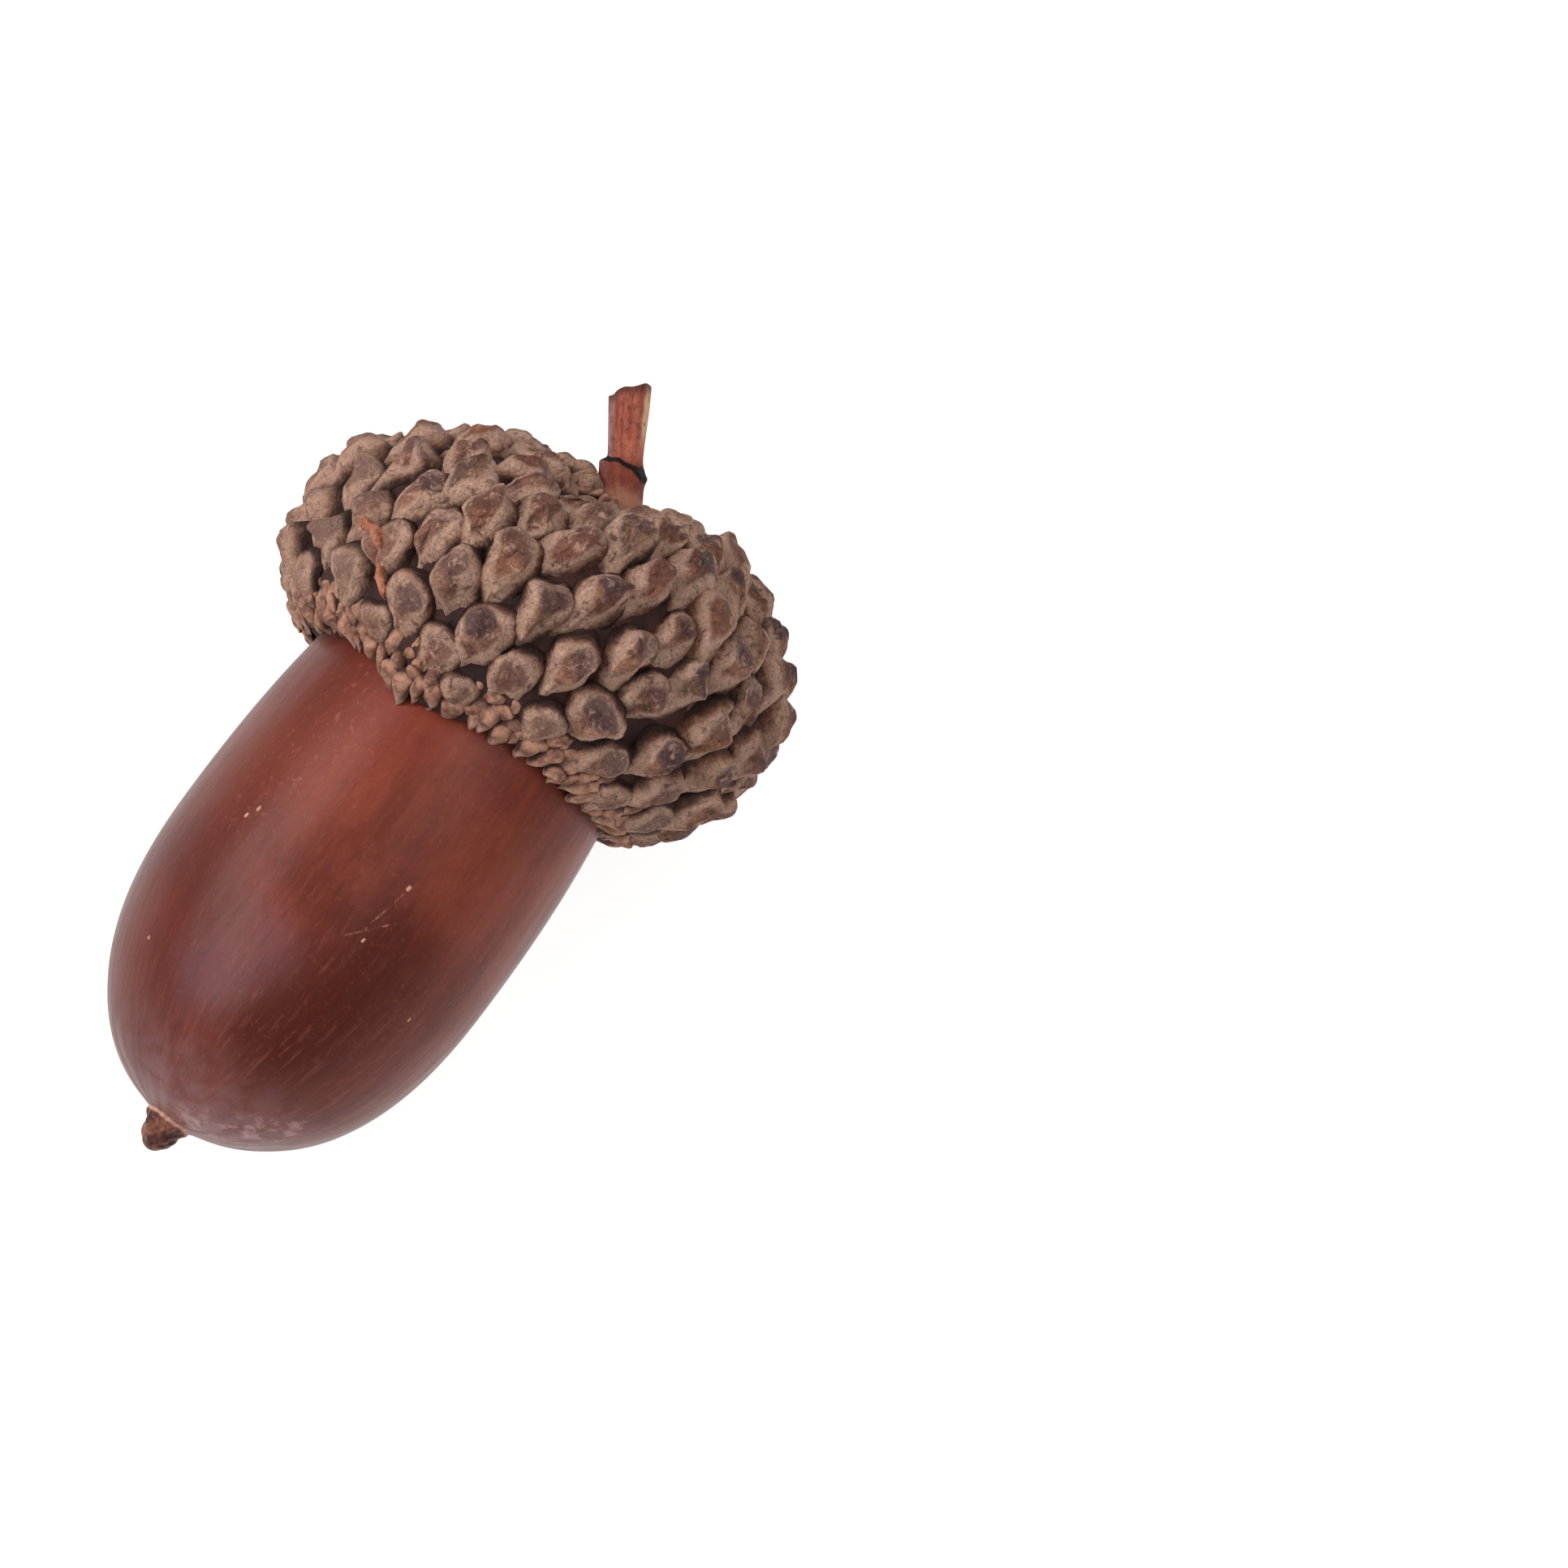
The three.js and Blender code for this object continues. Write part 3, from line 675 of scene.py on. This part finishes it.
# The resin
# A smear of orange resin that dried in a crack on the left of the cap and ran down beside a scale. It is a
# flattened run, broad at its head and thin below, and it sticks fast to the cup.
SMEAR_ANGLES = (96.5, 98.5, 101, 104, 107.5, 111, 114)
SMEAR_TURNS = (-31.5, -30, -27.5, -25, -22.7, -20.5, -18)
SMEAR_WIDTHS = (0.42, 0.82, 0.66, 0.34, 0.28, 0.36, 0.14)
SMEAR_THICKNESS = 0.55
RESIN_BROWN, RESIN_ORANGE = srgb(126, 66, 42), srgb(178, 106, 76)

way = np.linspace(0, 6, 26)
smear_angles, smear_turns, smear_widths = (
    np.interp(way, np.arange(7), values) for values in (SMEAR_ANGLES, SMEAR_TURNS, SMEAR_WIDTHS)
)
at, axes = cap_frames(smear_angles, smear_turns, 0.06)
# A flattened circle carried down the crack, as wide at each place as the smear is there.
round_smear = np.linspace(0, WHOLE_TURN, 16, endpoint=False)[None, :, None]
circle = np.cos(round_smear) * axes[:, None, 0] + SMEAR_THICKNESS * np.sin(round_smear) * axes[:, None, 2]
rings = gnarled(at[:, None] + smear_widths[:, None, None] * circle, 0.09, 1.0, 41)
resin = closed_piece("resin_smear", rings[None], np.stack((at[0], at[-1]))[None])
rounded(resin)

amber = Finish("orange_resin")
anywhere = amber.place()
clear = amber.between(amber.noise(anywhere, 2.4, 5.0, 0.7), 0.42, 0.58)
amber.set(
    Base_Color=amber.mix(clear, RESIN_BROWN, RESIN_ORANGE),
    Roughness=0.42,
    Normal=amber.bump(amber.noise(anywhere, 3.0, 4.0, 0.6), 0.15),
)
put_on(resin, amber)
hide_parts("cap")


# The stalk
# The stub of the twig that the acorn hung from: a round woody stem that stands in the hollow on top of the
# cap, with a black scar ring where it is jointed and a slanting break at its end.
STALK_LEAN = np.radians(33)
STALK_LENGTH = 5.25
STALK_ROOT = -1
STALK_RADIUS, BREAK_RADIUS = 0.84, 0.74
RING_HEIGHT = 1.68
BREAK_SLOPE = np.tan(np.radians(22))
STALK_COLUMNS = 48
TWIG_RED, TWIG_TAN = srgb(134, 64, 49), srgb(182, 102, 80)
TWIG_GREY, TWIG_LEFT_GREY = srgb(150, 108, 98), srgb(164, 128, 128)
BARE_WOOD = srgb(226, 184, 146)
CRUMB_BROWN = srgb(96, 46, 38)
FOOT_RED, FOOT_TAN = srgb(116, 52, 38), srgb(180, 128, 104)
RING_BLACK = srgb(22, 9, 8)
BREAK_BROWN = srgb(82, 44, 42)


def stalk_frame(points):
    """Y along the stalk from its base, laid over by its lean, to the acorn's own frame."""
    sine, cosine = np.sin(STALK_LEAN), np.cos(STALK_LEAN)
    x, y, z = np.moveaxis(points, -1, 0)
    return np.stack((x * cosine - y * sine, x * sine + y * cosine, z), -1) + STALK_BASE


def stalk_bark(turn, along):
    """A stem that is stouter on its left under the ring and widens again to its end, with fine lengthwise
    ridges, which are cosines round it. The ring stands at a slant round the stem, a bell in the radius,
    with a knob on the right. Also given out: how near a point is to the ring."""
    slant = 0.36 * np.cos(turn - 4.6)
    ring_height = RING_HEIGHT + slant + 0.05 * np.cos(3 * turn) + 0.03 * np.cos(8 * turn + 2)
    left = 0.26 * np.clip(-np.sin(turn), 0, 1) ** 2
    stem = STALK_RADIUS + left - (0.1 + left) * eased(along, ring_height - 0.14, ring_height + 0.1)
    stem = stem + 0.13 * eased(along, 2.0, 5.0)
    ridges = 0.022 * np.cos(7 * turn + 0.4 * along) + 0.016 * np.cos(12 * turn + 1 + 0.7 * np.sin(along))
    knob = bell((1 - np.sin(turn)) / 0.35)
    radius = stem + ridges + (0.03 + 0.12 * knob) * bell((along - ring_height) / (0.14 + 0.2 * knob))
    ring = bell((along - ring_height) / (0.12 + 0.26 * knob))
    return np.stack((radius * np.sin(turn), along, radius * np.cos(turn)), -1), ring


turn = np.linspace(0, WHOLE_TURN, STALK_COLUMNS, endpoint=False)[None]
share = np.linspace(0, 1, 70)[:, None]
break_height = STALK_LENGTH - 0.35 + BREAK_SLOPE * BREAK_RADIUS * np.sin(turn) + 0.05 * np.cos(5 * turn + 1)
along = STALK_ROOT + (break_height - STALK_ROOT) * share
tube, ring_mark = stalk_bark(turn, along)
# Four rings close in over the break, which is a little hollow.
rim = tube[-1:]
middle = rim.mean(1, keepdims=True)
closing = np.array((0.93, 0.8, 0.55, 0.3))[:, None, None]
sunk = np.array((-0.02, 0.05, 0.16, 0.2))[:, None, None] * np.array((0, 1, 0))
broken = middle + (rim - middle) * closing - sunk
stalk_rings = np.concatenate((tube, broken))
stalk_ends = np.array([[(0, STALK_ROOT - 0.05, 0), middle[0, 0] - np.array((0, 0.22, 0))]])
on_break = np.ones((4, STALK_COLUMNS))
stalk_marks = {
    "ring": (np.concatenate((ring_mark, 0 * on_break)), 0),
    "end": (np.concatenate((eased(share * np.ones_like(turn), 0.9, 0.99), on_break)), (0, 1)),
    "along": (np.concatenate((along, along[-1:] * on_break)), (0, 5)),
    "side": (np.sin(turn), 0),
}
stalk = closed_piece("stalk_stub", stalk_frame(stalk_rings)[None], stalk_frame(stalk_ends), stalk_marks)

twig = Finish("stalk_bark")
side, along_twig = twig.mark("side"), twig.mark("along")
# Turned so that X lies along the stalk, and drawn out along it.
lengthwise = twig.place((0.35, 2.2, 2.2), (0, 0.17, -0.586))
fibres = twig.noise(lengthwise, 1.6, 4.0, 0.6)
patches = twig.noise(twig.place(), 0.8, 4.0, 0.6)
crumbs = twig.noise(twig.place(), 3.6, 5.0, 0.7)
twig.colour = twig.mix(twig.between(fibres, 0.35, 0.65), TWIG_RED, TWIG_TAN)
twig.paint(TWIG_GREY, twig.between(patches, 0.5, 0.75, 0.0, 0.35))
twig.paint(TWIG_LEFT_GREY, twig.between(side, -0.45, -0.85, 0.0, 0.7))
# Bare wood shows in a stripe up the right side of the upper half.
stripe = twig.sum(side, twig.product(twig.sum(patches, -0.5), 0.6))
twig.paint(BARE_WOOD, twig.product(twig.between(stripe, 0.72, 0.9), twig.between(along_twig, 2.2, 3.4)), 0.85)
twig.paint(CRUMB_BROWN, twig.between(crumbs, 0.5, 0.62, 0.0, 0.5))
# Under the ring it is redder, and at the very foot pale.
twig.paint(FOOT_RED, twig.between(along_twig, 2.1, 1.6, 0.0, 0.7))
twig.paint(FOOT_TAN, twig.between(twig.sum(along_twig, twig.product(patches, 2.0)), 1.7, 1.1, 0.0, 0.65))
twig.paint(RING_BLACK, twig.between(twig.mark("ring"), 0.25, 0.6))
twig.paint(BREAK_BROWN, twig.mark("end"), 0.8)
twig.set(
    Base_Color=twig.colour,
    Roughness=0.65,
    Specular_IOR_Level=0.2,
    Normal=twig.bump(fibres, 0.08, twig.bump(crumbs, 0.1)),
)
put_on(stalk, twig)
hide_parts("stalk")


# The floor, the light and the camera
# A plain pale surface under a soft, nearly even light that comes mostly from the left, seen from high up
# along a long lens, as the acorn was photographed.
FLOOR_REACH = 3
SKY_STRENGTH = 0.26
# The camera's own directions: to the right of the picture, up it, and back towards the camera.
RIGHT = np.array((0.6037, -0.7972, 0))
UP = np.array((0.7322, 0.5544, 0.3955))
BACK = np.array((-0.3153, -0.2388, 0.9184))
MIDDLE_OF_VIEW = np.array((8.16, -12.57, 11.19)) / 1000
FRAME_WIDTH = 0.0644
LENS, SENSOR = 250, 36

corners = [(x * FLOOR_REACH, y * FLOOR_REACH, 0) for x, y in ((-1, -1), (1, -1), (1, 1), (-1, 1))]
floor_mesh = bpy.data.meshes.new("floor")
floor_mesh.from_pydata(corners, [], [(0, 1, 2, 3)])
floor = bpy.data.objects.new("floor", floor_mesh)
bpy.context.scene.collection.objects.link(floor)
paper = Finish("pale_floor")
paper.set(
    Base_Color=(0.2, 0.2, 0.2, 1),
    Roughness=1.0,
    Specular_IOR_Level=0.0,
    Emission_Color=(1, 1, 1, 1),
    Emission_Strength=0.92,
)
floor.data.materials.append(paper.material)

world = bpy.data.worlds.new("studio")
world.use_nodes = True
world.node_tree.nodes["Background"].inputs["Color"].default_value = (1, 1, 1, 1)
world.node_tree.nodes["Background"].inputs["Strength"].default_value = SKY_STRENGTH
bpy.context.scene.world = world


def soft_light(name, towards, distance, side, watts):
    """A square lamp that looks at the acorn, from a direction given as right, up and back."""
    lamp = bpy.data.lights.new(name, "AREA")
    lamp.shape, lamp.size, lamp.energy = "SQUARE", side, watts
    lit = bpy.data.objects.new(name, lamp)
    towards = np.array(towards) / np.linalg.norm(towards) @ (RIGHT, UP, BACK)
    lit.location = towards * distance + (0, 0, 0.01)
    lit.rotation_euler = Vector(-towards).to_track_quat("-Z", "Y").to_euler()
    bpy.context.scene.collection.objects.link(lit)


# Each lamp's direction, its distance and its side in metres, and its power in watts.
soft_light("upper_left_softbox", (-0.62, 0.5, 0.6), 0.6, 0.4, 2.8)
soft_light("left_softbox", (-0.61, -0.16, 0.8), 0.7, 0.22, 1.0)
soft_light("right_softbox", (0.55, 0.25, 0.8), 0.8, 0.6, 2.4)

camera = bpy.data.objects.new("camera", bpy.data.cameras.new("camera"))
camera.data.lens, camera.data.sensor_width = LENS, SENSOR
camera.data.clip_start, camera.data.clip_end = 0.01, 20
place = MIDDLE_OF_VIEW + BACK * FRAME_WIDTH * LENS / SENSOR
camera.matrix_world = Matrix([[RIGHT[i], UP[i], BACK[i], place[i]] for i in range(3)] + [[0, 0, 0, 1]])
bpy.context.scene.collection.objects.link(camera)
bpy.context.scene.camera = camera
bpy.context.scene.view_settings.view_transform = "Standard"
